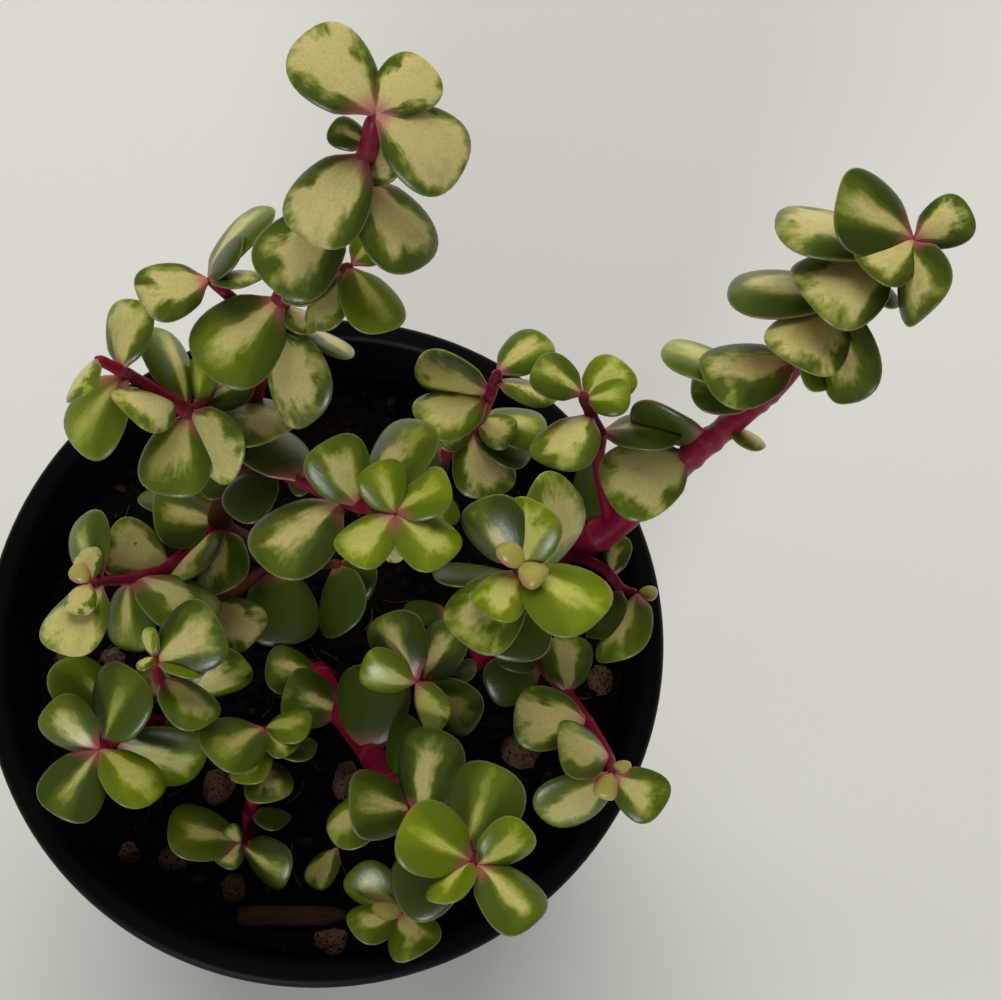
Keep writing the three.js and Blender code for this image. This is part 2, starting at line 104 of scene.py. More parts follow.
class Finish:
    """A material on its Principled shader, put together one node at a time."""

    def __init__(self, name, constants):
        self.material = bpy.data.materials.new(name)
        self.material.use_nodes = True
        self.tree = self.material.node_tree
        self.shader = self.tree.nodes["Principled BSDF"]
        for socket, value in constants.items():
            self.feed(self.shader.inputs[socket], value)

    def feed(self, socket, value):
        """Gives a socket a link or a plain value."""
        if isinstance(value, Signal):
            self.tree.links.new(value.socket, socket)
        elif socket.type == "RGBA":
            socket.default_value = (*value, 1)
        else:
            socket.default_value = value

    def node(self, kind, settings, inputs):
        """Adds a node and returns its output, or all its outputs where it has more than one."""
        node = self.tree.nodes.new(kind)
        for name, value in settings.items():
            setattr(node, name, value)
        shown = [socket for socket in node.inputs if socket.enabled]
        for name, value in inputs.items():
            if isinstance(name, int):
                self.feed(shown[name], value)
            else:
                self.feed(next(socket for socket in shown if socket.name == name), value)
        signals = [Signal(self, socket) for socket in node.outputs if socket.enabled]
        return signals[0] if len(signals) == 1 else signals

    def maths(self, operation, *values):
        """The outcome of one maths node."""
        return self.node("ShaderNodeMath", {"operation": operation}, dict(enumerate(values)))

    def mix(self, share, start, end):
        """One colour turning into another."""
        return self.node(
            "ShaderNodeMix", {"data_type": "RGBA"}, {"Factor": share, "A": start, "B": end})

    def ramp(self, value, low, high):
        """0 below low, 1 above high, and a smooth step between."""
        return self.node(
            "ShaderNodeMapRange", {"interpolation_type": "SMOOTHSTEP"},
            {"Value": value, "From Min": low, "From Max": high})

    def grain(self, place, scale, detail=2.0, roughness=0.5):
        """Soft noise from 0 to 1."""
        return self.node(
            "ShaderNodeTexNoise", {},
            {"Vector": place, "Scale": scale, "Detail": detail, "Roughness": roughness})[0]

    def place(self):
        """Where a point of the piece is, in metres."""
        return self.node("ShaderNodeTexCoord", {}, {})[3]

    def reading(self, name):
        """The colour, vector, number and alpha that the mesh keeps under a name."""
        return self.node("ShaderNodeAttribute", {"attribute_name": name}, {})

    def split(self, vector):
        """The three parts of a vector."""
        return self.node("ShaderNodeSeparateXYZ", {}, {"Vector": vector})

    def join(self, x, y, z):
        """A vector from its three parts."""
        return self.node("ShaderNodeCombineXYZ", {}, {"X": x, "Y": y, "Z": z})

    def surface(self, colour=None, roughness=None, height=None, relief=0.0001, strength=0.5):
        """Sets what changes over the surface: colour, roughness and a fine relief."""
        if colour is not None:
            self.feed(self.shader.inputs["Base Color"], colour)
        if roughness is not None:
            self.feed(self.shader.inputs["Roughness"], roughness)
        if height is not None:
            bump = self.node(
                "ShaderNodeBump", {}, {"Height": height, "Distance": relief, "Strength": strength})
            self.feed(self.shader.inputs["Normal"], bump)


def set_in_place(bm, name, finish, node):
    """Makes the piece from its mesh, which stands where its CAD node does."""
    mesh = bpy.data.meshes.new(name)
    bm.to_mesh(mesh)
    bm.free()
    mesh.shade_smooth()
    mesh.materials.append(finish.material)
    piece = bpy.data.objects.new(name, mesh)
    scene.collection.objects.link(piece)
    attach(piece, "root")
    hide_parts(node)
    return piece


def shape_pot():
    """The pot's profile, spun round and rounded at its corners."""
    bm = bmesh.new()
    ring = [bm.verts.new((radius * MM, 0, height * MM)) for radius, height in POT_PROFILE]
    line = [bm.edges.new(pair) for pair in zip(ring, ring[1:])]
    bmesh.ops.spin(
        bm, geom=ring + line, cent=(0, 0, 0), axis=(0, 0, 1), dvec=(0, 0, 0),
        angle=2 * math.pi, steps=POT_STEPS, use_merge=True)
    bmesh.ops.remove_doubles(bm, verts=bm.verts, dist=1e-6)
    bmesh.ops.recalc_face_normals(bm, faces=bm.faces)
    corners = [
        edge for edge in bm.edges
        if abs(edge.verts[0].co.z - edge.verts[1].co.z) < 1e-7
        and abs(edge.verts[0].co.xy.length - edge.verts[1].co.xy.length) < 1e-6
        and edge.verts[0].co.xy.length > CORNERS_BEYOND * MM
    ]
    bmesh.ops.bevel(
        bm, geom=corners, offset=CORNER * MM, offset_type="OFFSET", affect="EDGES", segments=3,
        profile=0.5, material=-1, clamp_overlap=True)
    return bm


def shape_drills():
    """Six rods, where the pot's floor is drilled."""
    bm = bmesh.new()
    for k in range(DRAIN_HOLES):
        angle = 2 * math.pi * k / DRAIN_HOLES
        place = Vector((math.cos(angle), math.sin(angle), 0)) * DRAIN_CIRCLE * MM
        bmesh.ops.create_cone(
            bm, cap_ends=True, segments=32, radius1=DRAIN_RADIUS * MM,
            radius2=DRAIN_RADIUS * MM, depth=4 * POT_FLOOR * MM,
            matrix=Matrix.Translation(place))
    return bm


def cut(piece, bm):
    """Takes the solid in bm out of a piece."""
    mesh = bpy.data.meshes.new("cutter")
    bm.to_mesh(mesh)
    bm.free()
    cutter = bpy.data.objects.new("cutter", mesh)
    scene.collection.objects.link(cutter)
    modifier = piece.modifiers.new("cut", "BOOLEAN")
    modifier.operation = "DIFFERENCE"
    modifier.object = cutter
    shaped = piece.evaluated_get(bpy.context.evaluated_depsgraph_get())
    result = bpy.data.meshes.new_from_object(shaped)
    piece.modifiers.clear()
    piece.data = result
    bpy.data.objects.remove(cutter)
    bpy.data.meshes.remove(mesh)


black = Finish("black_polypropylene", {"Specular IOR Level": 0.12})
spot = black.place()
scuffs = black.grain(spot, 160, 4, 0.65)
black.surface(
    colour=black.mix(scuffs, PLASTIC_BLACK, SCUFFED_BLACK),
    roughness=0.36 + scuffs * 0.22,
    height=black.grain(spot, 2600, 3, 0.6) + scuffs * 0.6,
    relief=0.00006)
nursery_pot = set_in_place(shape_pot(), "nursery_pot", black, "pot")
cut(nursery_pot, shape_drills())
nursery_pot.data.shade_smooth()

# ---------- Potting mix ----------
# A dark, moist mix of peat, composted bark and grit. It fills the pot to a little below the rim;
# its top is all crumbs and lumps, with thin brown root fibres.

MIX_TOP = 76.3
MIX_RADIUS = 46.9
MIX_FOOT_RADIUS = 36.6
MIX_BOTTOM = 2.3
MIX_RELIEF = 0.8
MIX_CELLS = 210
FINE_LUMPS = 0.9
COARSE_LUMPS = 1.1
# Beyond this share of its radius the top gets smooth, and it has settled a little at the wall.
MIX_EDGE = 0.93
MIX_EDGE_WIDTH = 0.07
MIX_SETTLED = 0.6
CRUMBS = 900
# The radius of the smallest crumb, how much more the largest has, and how far all keep from
# the wall.
CRUMB_RADIUS = 0.5
CRUMB_RANGE = 1.5
CRUMB_MARGIN = 1.5
FIBRES = 60
FIBRE_POINTS = 7
FIBRE_MARGIN = 6
WET_PEAT = (0.0012, 0.0009, 0.0007)
PEAT = (0.007, 0.0045, 0.003)
BARK_FLECK = (0.026, 0.014, 0.008)
# Where something lies loose on the mix, which is smooth under it: a place and its reach.
RESTS = [(0, -34, 4.6), (-10, -41.3, 3.2), (-5, -41.3, 3.2), (0, -41.3, 3.2)]


def draws(seed):
    """Evenly spread draws from 0 to 1, the same ones for the same seed."""
    state = seed
    while True:
        state = state * 16807 % 2147483647
        yield state / 2147483647


def mix_height(x, y):
    """Height of the mix at a place in plan, in millimetres."""
    broad = math.sin(0.21 * x + 0.8) * math.cos(0.17 * y - 0.4)
    fine = math.sin(0.53 * x - 0.31 * y) * math.cos(0.47 * y + 0.9)
    return MIX_TOP + MIX_RELIEF * (0.6 * broad + 0.4 * fine)


def open_mix(x, y):
    """0 where something lies on the mix, 1 away from it."""
    return min(min(1, max(0, math.hypot(x - px, y - py) / reach - 0.8) * 4)
               for px, py, reach in RESTS)


def shape_mix():
    """A square grid drawn to a disc, roughened, with its sides and bottom pulled down."""
    bm = bmesh.new()
    grid = bmesh.ops.create_grid(bm, x_segments=MIX_CELLS, y_segments=MIX_CELLS, size=1)
    for vert in grid["verts"]:
        x, y = vert.co.xy
        x, y = x * math.sqrt(1 - y * y / 2), y * math.sqrt(1 - x * x / 2)
        edge = min(1, max(0, (math.hypot(x, y) - MIX_EDGE) / MIX_EDGE_WIDTH))
        x, y = x * MIX_RADIUS, y * MIX_RADIUS
        lumps = FINE_LUMPS * noise.fractal(Vector((x * 0.55, y * 0.55, 3)), 0.7, 2, 5)
        lumps += COARSE_LUMPS * max(0, noise.noise(Vector((x * 0.33, y * 0.33, 9))) - 0.1)
        lumps *= (1 - edge) * open_mix(x, y)
        vert.co = Vector((x, y, mix_height(x, y) + lumps - MIX_SETTLED * edge)) * MM
    rim = [edge for edge in bm.edges if edge.is_boundary]
    wall = bmesh.ops.extrude_edge_only(bm, edges=rim)
    foot = [part for part in wall["geom"] if isinstance(part, bmesh.types.BMVert)]
    for vert in foot:
        vert.co.xy = vert.co.xy.normalized() * MIX_FOOT_RADIUS * MM
        vert.co.z = MIX_BOTTOM * MM
    foot_edges = [part for part in wall["geom"] if isinstance(part, bmesh.types.BMEdge)]
    bmesh.ops.contextual_create(bm, geom=[edge for edge in foot_edges if edge.is_boundary])
    bmesh.ops.recalc_face_normals(bm, faces=bm.faces)
    return bm


def random_place(draw, reach):
    """An even draw of a place within a circle, in millimetres."""
    distance = reach * math.sqrt(next(draw))
    angle = 2 * math.pi * next(draw)
    return distance * math.cos(angle), distance * math.sin(angle)


def add_to(bm, part):
    """Adds a finished part to a piece's mesh. A part is shaped on its own first, which is faster."""
    mesh = bpy.data.meshes.new("part")
    part.to_mesh(mesh)
    part.free()
    bm.from_mesh(mesh)
    bpy.data.meshes.remove(mesh)


def shape_crumbs():
    """Angular crumbs, half sunk in the top of the mix; most are dark, a few are brown grit."""
    bm = bmesh.new()
    draw = draws(11)
    for _ in range(CRUMBS):
        x, y = random_place(draw, MIX_RADIUS - CRUMB_MARGIN)
        size = CRUMB_RADIUS + CRUMB_RANGE * next(draw) ** 3
        size *= 0.3 + 0.7 * open_mix(x, y)
        shade = next(draw)
        flatness = 0.5 + 0.4 * next(draw)
        turn = Matrix.Rotation(2 * math.pi * next(draw), 3, "Z")
        tilt = Matrix.Rotation(0.7 * next(draw), 3, "X")
        stretch = Matrix.Diagonal((1, 0.55 + 0.45 * next(draw), flatness))
        centre = Vector((x, y, mix_height(x, y) + 0.2 + 0.3 * size))
        lump = bmesh.new()
        tone = lump.verts.layers.float.new("tone")
        bmesh.ops.create_icosphere(lump, subdivisions=1, radius=size)
        for vert in lump.verts:
            dent = 1 - 0.35 * next(draw)
            vert.co = (centre + turn @ tilt @ stretch @ (vert.co * dent)) * MM
            vert[tone] = shade
        add_to(bm, lump)
    return bm


def frames_along(line):
    """The direction of a line of points at each of them, with two directions square to it."""
    ahead = (line[1] - line[0]).normalized()
    across = ahead.orthogonal().normalized()
    frames = []
    for k in range(len(line)):
        ahead = (line[min(k + 1, len(line) - 1)] - line[max(k - 1, 0)]).normalized()
        across = (across - ahead * across.dot(ahead)).normalized()
        frames.append((ahead, across, ahead.cross(across)))
    return frames


def grow_rod(bm, line, radii, sides):
    """A round rod along a line of points, drawn out ring by ring. Returns its rings' vertices."""
    stances = []
    for point, radius, (ahead, across, over) in zip(line, radii, frames_along(line)):
        turned = Matrix((across, over, ahead)).transposed().to_4x4()
        stances.append(Matrix.Translation(point) @ turned @ Matrix.Scale(radius, 4))
    ring = bmesh.ops.create_circle(
        bm, cap_ends=True, segments=sides, radius=1, matrix=stances[0])["verts"]
    rings = [ring]
    edges = list({edge for vert in ring for edge in vert.link_edges})
    for before, after in zip(stances, stances[1:]):
        grown = bmesh.ops.extrude_edge_only(bm, edges=edges)["geom"]
        ring = [part for part in grown if isinstance(part, bmesh.types.BMVert)]
        edges = [part for part in grown
                 if isinstance(part, bmesh.types.BMEdge) and part.is_boundary]
        bmesh.ops.transform(bm, matrix=after @ before.inverted(), verts=ring)
        rings.append(ring)
    bmesh.ops.contextual_create(bm, geom=edges)
    return rings


def shape_fibres():
    """Thin bent root fibres lying over the crumbs."""
    bm = bmesh.new()
    draw = draws(29)
    for _ in range(FIBRES):
        x, y = random_place(draw, MIX_RADIUS - FIBRE_MARGIN)
        heading = 2 * math.pi * next(draw)
        length = 2.5 + 5 * next(draw)
        bend = 1.6 * (next(draw) - 0.5)
        line = []
        for k in range(FIBRE_POINTS):
            share = k / (FIBRE_POINTS - 1) - 0.5
            px = x + length * share * math.cos(heading + bend * share)
            py = y + length * share * math.sin(heading + bend * share)
            lift = 1.1 + 0.5 * next(draw)
            line.append(Vector((px, py, mix_height(px, py) + lift)) * MM)
        thin = (0.07 + 0.09 * next(draw)) * MM
        grow_rod(bm, line, [thin] * FIBRE_POINTS, 5)
    bmesh.ops.recalc_face_normals(bm, faces=bm.faces)
    return bm


soil = Finish("moist_mix", {"Specular IOR Level": 0.12})
spot = soil.place()
clods = soil.grain(spot, 420, 5, 0.7)
flecks = soil.ramp(soil.grain(spot, 900, 2, 0.5), 0.62, 0.74)
dark = soil.mix(clods, WET_PEAT, PEAT)
soil.surface(
    colour=soil.mix(flecks * 0.5, dark, BARK_FLECK),
    roughness=0.8 + clods * 0.15,
    height=clods + soil.grain(spot, 1900, 3, 0.6) * 0.4,
    relief=0.0005,
    strength=0.8)
set_in_place(shape_mix(), "mix", soil, "potting_mix")

crumb = Finish("mix_crumbs", {"Roughness": 0.85, "Specular IOR Level": 0.12})
spot = crumb.place()
tone = crumb.reading("tone")[2]
rough = crumb.grain(spot, 1300, 3, 0.6)
dark = crumb.mix(rough, (0.0015, 0.001, 0.0008), (0.009, 0.0055, 0.004))
brown = crumb.mix(rough, (0.012, 0.0065, 0.004), (0.038, 0.021, 0.012))
crumb.surface(
    colour=crumb.mix(crumb.ramp(tone, 0.72, 0.92), dark, brown), height=rough, relief=0.0003)
set_in_place(shape_crumbs(), "mix_crumbs", crumb, "potting_mix")

fibre = Finish("root_fibre", {"Roughness": 0.7, "Specular IOR Level": 0.3})
fibre.surface(colour=fibre.mix(
    fibre.grain(fibre.place(), 500), (0.02, 0.010, 0.006), (0.07, 0.038, 0.020)))
set_in_place(shape_fibres(), "root_fibres", fibre, "potting_mix")

# ---------- Pumice stones ----------
# Ten pieces of pumice grit, brown from the wet mix, rough and full of small pores. They lie
# loose on the mix, their lower part sunk in it.

# Each stone's place on the mix, and its length, width and height.
STONES = [
    (-17.1, -21.6, 5.6, 5.8, 4.6), (3.1, -20.4, 4.6, 6.4, 4.4), (-14.2, -36.9, 4.2, 4.2, 3.2),
    (-23.4, -32.7, 5, 4.4, 3.4), (1.3, -45, 5.2, 4.4, 3.6), (30.7, -15.6, 7, 6, 4.8),
    (43.2, -4.4, 4.2, 5, 3.6), (-42.2, -0.5, 4, 4.6, 3.4), (-30.5, -31.5, 3.4, 3.2, 2.8),
    (-34.7, -0.5, 4.2, 3.6, 3),
]
# How far a stone's middle is above the mix, as a share of its height.
STONE_RISE = 0.25
STONE_BREAKS = 15
PORE_BROWN = (0.022, 0.012, 0.007)
WET_PUMICE = (0.040, 0.022, 0.012)
PUMICE = (0.15, 0.088, 0.052)


def direction(heading, lift):
    """The way a heading seen from above and a lift above level point, both in degrees."""
    turn, rise = math.radians(heading), math.radians(lift)
    return Vector((
        math.cos(rise) * math.cos(turn), math.cos(rise) * math.sin(turn), math.sin(rise)))


def shape_stone(x, y, length, width, height, seed):
    """A lump with broken flat faces, dents and pores."""
    bm = bmesh.new()
    draw = draws(seed)
    breaks = [
        (direction(360 * next(draw), math.degrees(math.asin(2 * next(draw) - 1))),
         0.74 + 0.2 * next(draw)) for _ in range(STONE_BREAKS)]
    centre = Vector((x, y, MIX_TOP + STONE_RISE * height))
    for vert in bmesh.ops.create_icosphere(bm, subdivisions=5, radius=1)["verts"]:
        out = vert.co.copy()
        broad = noise.noise(out * 1.1 + Vector((7 * seed, 0, 0)))
        facets = noise.fractal(out * 2.1 + Vector((0, 5 * seed, 0)), 0.8, 2, 4)
        pores = max(0, noise.noise(out * 7 + Vector((0, 0, 3 * seed))) - 0.25)
        reach = min(1.05, *(depth / max(0.3, out.dot(facing)) for facing, depth in breaks))
        reach += 0.08 * broad + 0.06 * facets - 0.2 * pores
        vert.co = (centre + out * Vector((length, width, height)) * reach / 2) * MM
    return bm


stone = Finish("pumice", {"Roughness": 0.9, "Specular IOR Level": 0.2})
spot = stone.place()
patches = stone.grain(spot, 330, 4, 0.6)
bubbles = stone.node(
    "ShaderNodeTexVoronoi", {}, {"Vector": spot, "Scale": 1500.0, "Randomness": 1.0})
pores = stone.ramp(bubbles[0], 0.1, 0.45)
stone.surface(
    colour=stone.mix(pores, PORE_BROWN, stone.mix(patches, WET_PUMICE, PUMICE)),
    height=pores + patches * 0.8,
    relief=0.0004,
    strength=0.8)
for seed, row in enumerate(STONES, start=1):
    set_in_place(shape_stone(*row, seed), f"pumice_{seed}", stone, f"stone_{seed}")

# ---------- Bark chip ----------
# One flat splinter of composted bark with broken ends, its fibres running along it. It lies on
# the mix near the front of the pot.

# The middle of its left end, its length, width and height, and how deep it has sunk in.
CHIP_FROM = (-13.2, -41.3)
CHIP_SIZE = (16.4, 3.4, 1.8)
CHIP_SUNK = 0.5
BARK_DARK = (0.012, 0.006, 0.004)
BARK_BROWN = (0.07, 0.036, 0.020)


def shape_chip():
    """A slab with ridges along it and torn ends."""
    bm = bmesh.new()
    bmesh.ops.create_cube(bm, size=1)
    bmesh.ops.subdivide_edges(bm, edges=bm.edges, cuts=5, use_grid_fill=True)
    lengthwise = [edge for edge in bm.edges
                  if abs(edge.verts[0].co.x - edge.verts[1].co.x) > 0.01]
    bmesh.ops.subdivide_edges(bm, edges=lengthwise, cuts=5, use_grid_fill=True)
    length, width, height = CHIP_SIZE
    for vert in bm.verts:
        x, y, z = vert.co
        ridges = noise.noise(Vector((x * 2, y * 9, z * 4)))
        torn = noise.noise(Vector((y * 5, z * 5, 4 if x > 0 else 8)))
        narrow = 1 - 0.55 * abs(2 * x) ** 4 * (1 if x > 0 else 0.5)
        px = (x + 0.5) * length - torn * 1.3 * abs(2 * x) ** 3
        py = y * width * narrow + 0.35 * ridges
        pz = (z + 0.5) * height * (1 - 0.3 * abs(2 * y) ** 2) + 0.25 * ridges
        vert.co = Vector((
            CHIP_FROM[0] + px, CHIP_FROM[1] + py, MIX_TOP - CHIP_SUNK + pz)) * MM
    bmesh.ops.recalc_face_normals(bm, faces=bm.faces)
    return bm


chip = Finish("bark", {"Roughness": 0.88, "Specular IOR Level": 0.2})
spot = chip.place()
x, y, z = chip.split(spot)
fibres = chip.grain(chip.join(x * 0.12, y, z), 1900, 4, 0.6)
chip.surface(
    colour=chip.mix(fibres, BARK_DARK, BARK_BROWN),
    height=fibres,
    relief=0.0005,
    strength=0.9)
set_in_place(shape_chip(), "bark_chip_split", chip, "bark_chip")

# ---------- Leaves ----------
# Thick waxy leaves, green with a cream flame that spreads from a short pink stalk. They stand
# mostly in opposite pairs, and each grows out of its stem.

# A leaf's width as a share of its length, and how it widens from foot to tip.
LEAF_WIDTH = 0.88
LEAF_FOOT = 0.66
LEAF_SPREAD = 0.28
# A leaf is this thick, and this share of its length thicker. A bud has only a share.
LEAF_THICKNESS = 1.0
LEAF_THICKNESS_SHARE = 0.06
BUD_THICKNESS = 0.62
LEAF_SIDES = 36
LEAF_RINGS = 14
# Every leaf is a little curled and arched. The ranges say how much leaves differ in that, in how
# they sweep to a side, in how square the blade is and in how wavy it is.
LEAF_CURL = 0.05
LEAF_ARCH = 0.01
CURL_RANGE = 0.07
ARCH_RANGE = 0.17
SWEEP_RANGE = 0.07
SQUARE_RANGE = 0.035
WAVE_RANGE = 0.07
# How far behind the leaf's middle the rays of its flame meet, in half lengths.
FLAME_ROOT = 1.3
# The half angle of each marking's flame at that root, in radians, and the share of the leaf's
# length that it reaches: cream nearly all over, wide, middling, slim, a thin vein, plain green.
FLAMES = {
    "c": (0.54, 0.97),
    "w": (0.45, 0.90),
    "f": (0.30, 0.84),
    "s": (0.18, 0.78),
    "v": (0.09, 0.68),
    "g": (0.0, 0.5),
}
BUD_CREAM = (0.44, 0.38, 0.09)
BUD_PINK = (0.50, 0.20, 0.12)
# The colour of a leaf's thin rim. It is partly the leaf's own pale margin and partly a painted sheen
# where the thick edge catches the light.
RIM_CREAM_AND_SHEEN = (0.34, 0.29, 0.12)
STALK_PINK = (0.46, 0.10, 0.12)
SPECK_BROWN = (0.12, 0.045, 0.015)


def leaf_width(x):
    """A leaf's width beside a round disc's, from -1 at its foot, a narrow stalk, to 1 at its tip."""
    blade = min(1, max(0, (0.5 * (1 + x) - 0.03) / 0.22))
    stalk = 0.55 + 0.45 * blade * blade * (3 - 2 * blade)
    fullness = max(1e-6, 1 - x * x) ** -0.08
    return fullness * stalk * (LEAF_FOOT + LEAF_SPREAD * (1 + x))


def grow_leaf(bm, foot, heading, lift, length, turn, look, draw):
    """A flattened ball drawn out to a narrow stalk, curled, arched and rounded at its rim.

    Its look is a letter for its markings and a number for its age: 0 old and dark, 1 half grown,
    2 young and lime green, 3 a plump bud.
    """
    along = direction(heading, lift)
    face = (Vector((0, 0, 1)) - along * along.z).normalized()
    side = face.cross(along)
    roll = Matrix.Rotation(math.radians(turn), 3, along)
    face, side = roll @ face, roll @ side
    half_width = LEAF_WIDTH * length / 2
    half_thick = (LEAF_THICKNESS + LEAF_THICKNESS_SHARE * length) / 2
    if look[1] == "3":
        half_thick = BUD_THICKNESS * length / 2
    arch = LEAF_ARCH + ARCH_RANGE * next(draw)
    curl = LEAF_CURL + CURL_RANGE * next(draw)
    sweep = SWEEP_RANGE * (next(draw) - 0.5)
    square = SQUARE_RANGE * next(draw)
    wave = WAVE_RANGE * next(draw)
    number = next(draw)
    spread, reach = FLAMES[look[0]]
    spread *= 0.88 + 0.24 * next(draw)
    reach *= 0.92 + 0.14 * next(draw)
    youth = int(look[1]) / 2
    ball = bmesh.new()
    lamina = ball.verts.layers.float_color.new("lamina")
    breed = ball.verts.layers.float_color.new("breed")
    bmesh.ops.create_uvsphere(ball, u_segments=LEAF_SIDES, v_segments=LEAF_RINGS, radius=1)
    for vert in ball.verts:
        x, y, z = vert.co
        vert[lamina] = (x, y, z, 1)
        vert[breed] = (spread, youth, number, reach)
        ring = math.hypot(x, y)
        domed = math.copysign(max(0, 1 - ring ** 2.6) ** 0.5, z)
        corner = 1 + square * math.sin(2 * math.atan2(y, x)) ** 2 if x > 0 else 1
        x, y = x * corner, y * corner
        share = (1 + x) / 2
        wide = y * leaf_width(x)
        rippled = wave * ring ** 2 * math.sin(3 * math.atan2(y, x) + 6 * number)
        low = (curl * share * (share - 1) * length
               + (arch * (wide * wide - 0.35 * share) + rippled * 0.5) * half_width)
        vert.co = (foot + along * length * share
                   + side * (wide * half_width + sweep * length * share ** 2)
                   + face * (domed * half_thick - low)) * MM
    add_to(bm, ball)


leaf = Finish("leaf", {
    "Specular IOR Level": 0.5,
    "Subsurface Weight": 0.1,
    "Subsurface Radius": (0.7, 0.9, 0.25),
    "Subsurface Scale": 0.0012,
})
# The mesh keeps each point's place on the leaf's first ball, and its leaf's flame and age.
x, y, z = leaf.split(leaf.reading("lamina")[1])
breed = leaf.reading("breed")
spread, youth, number = leaf.split(breed[1])
reach = breed[3]
spot = leaf.place()
along = x * 0.5 + 0.5
ahead = x + FLAME_ROOT
from_root = (ahead * ahead + y * y) ** 0.5
angle = leaf.maths("ARCTAN2", y, ahead)
seed = number * 41
streaks = leaf.grain(leaf.join(angle * 3.4 + seed, from_root * 0.9, seed), 1.0, 3, 0.6)
teeth = leaf.grain(leaf.join(angle * 15 + seed, from_root * 2.2, seed + 3), 1.0, 3, 0.62)
blots = leaf.grain(leaf.join(x * 1.6, y * 1.6, seed + 7), 1.0, 3, 0.5)
islands = leaf.ramp(leaf.grain(leaf.join(x * 2.4, y * 3.6, seed + 11), 1.0, 3, 0.65), 0.60, 0.72)
marked = leaf.ramp(spread, 0.02, 0.06)
bud = leaf.ramp(youth, 1.1, 1.4)
# Above 0 inside the flame. Streaks and teeth fray its edge, blots and green islands break it.
flame = spread - angle * angle / spread.most(0.05) - spread * (along / reach) ** 3
flame = flame + (streaks - 0.5) * (0.25 + spread * 1.1) + (teeth - 0.5) * (0.16 + spread * 0.15)
flame = flame - islands * spread * 0.2 + (blots - 0.5) * spread * 2.0
flame = flame * marked - (1 - marked)
pale_part = leaf.ramp(flame, -0.05, 0.15)
bright_part = leaf.ramp(flame + (blots - 0.5) * 0.25, -0.16, 0.0)
middle_part = leaf.ramp(flame + (blots - 0.5) * 0.5, -0.6, -0.06)


def by_age(old, half_grown, young):
    """A colour that follows the leaf's age."""
    first = leaf.mix(leaf.ramp(youth, 0.0, 0.5), old, half_grown)
    return leaf.mix(leaf.ramp(youth, 0.5, 1.0), first, young)


deep = by_age((0.038, 0.060, 0.004), (0.066, 0.100, 0.004), (0.115, 0.160, 0.003))
middle = by_age((0.090, 0.125, 0.008), (0.122, 0.165, 0.007), (0.180, 0.230, 0.005))
bright = by_age((0.25, 0.275, 0.045), (0.28, 0.315, 0.042), (0.31, 0.355, 0.030))
pale = by_age((0.62, 0.52, 0.20), (0.60, 0.53, 0.185), (0.53, 0.53, 0.13))
pale = leaf.mix(leaf.ramp(blots + (teeth - 0.5) * 0.6, 0.5, 0.8) * 0.35, pale, bright)
colour = leaf.mix(middle_part, deep, middle)
colour = leaf.mix(bright_part, colour, bright)
colour = leaf.mix(pale_part, colour, pale)
pinked = leaf.ramp(abs(y) + blots * 0.4, 0.7, 1.1)
colour = leaf.mix(bud, colour, leaf.mix(pinked, BUD_CREAM, BUD_PINK))
mottle = leaf.grain(spot, 2600, 3, 0.7)
colour = leaf.mix((mottle - 0.42).most(0) * 0.7, colour, deep)
# A thin pale band round the leaf's edge. It is partly the pale margin and partly a painted sheen of
# light on the edge.
ring = x * x + y * y
rim = leaf.ramp(ring, 0.93, 1.0) * 0.4
colour = leaf.mix(rim, colour, RIM_CREAM_AND_SHEEN)
stalk = leaf.ramp(along + (streaks - 0.5) * 0.15, 0.18 + number * 0.18, 0.04)
colour = leaf.mix(stalk * 0.75, colour, STALK_PINK)
specks = leaf.node("ShaderNodeTexVoronoi", {}, {"Vector": spot, "Scale": 230.0})
rare = leaf.ramp(leaf.split(specks[1])[0], 0.84, 0.86)
colour = leaf.mix(leaf.ramp(specks[0], 0.09, 0.04) * rare * 0.7, colour, SPECK_BROWN)
leaf.surface(
    colour=colour,
    roughness=0.25 + blots * 0.16,
    height=teeth * 0.35 + leaf.grain(spot, 1400, 2) * 0.3 + mottle * 0.2,
    relief=0.00025,
    strength=0.3)

# ---------- Stems ----------
# Fleshy magenta stems, brown and rough low down, a little swollen with a pale scar where each
# pair of leaves stands. They grow out of each other, and the lowest ones stand in the mix.

STEM_SIDES = 16
STEM_STEP = 0.7
# How far along the stem it swells for a pair of leaves, and by what share.
NODE_REACH = 0.85
NODE_SWELL = 0.12
STEM_LUMPS = 0.03
# The height over which a stem turns from brown to magenta.
BROWN_FADE = 8
# The points on each span of the line through a route.
SPAN_POINTS = 41
FRESH_DARK = (0.13, 0.003, 0.016)
FRESH_MAGENTA = (0.26, 0.006, 0.038)
OLD_DARK = (0.045, 0.012, 0.009)
OLD_BROWN = (0.12, 0.040, 0.026)
SCAR_BROWN = (0.13, 0.055, 0.035)


def line_through(route):
    """Close points on the smooth line through a route, with each one's distance from the foot."""
    points = [Vector(point) for point in route]
    points = [points[0] * 2 - points[1], *points, points[-1] * 2 - points[-2]]
    close = []
    for before, start, end, after in zip(points, points[1:], points[2:], points[3:]):
        close += geometry.interpolate_bezier(
            start, start + (end - before) / 6, end - (after - start) / 6, end, SPAN_POINTS)[:-1]
    close.append(points[-2])
    distances = [0.0]
    for start, end in zip(close, close[1:]):
        distances.append(distances[-1] + (end - start).length)
    return close, distances


def point_at(close, distances, distance):
    """The point at a distance along such a line."""
    distance = min(distance, distances[-1])
    k = next(k for k in range(1, len(close)) if distances[k] >= distance - 1e-9)
    share = (distance - distances[k - 1]) / (distances[k] - distances[k - 1])
    return close[k - 1].lerp(close[k], share)


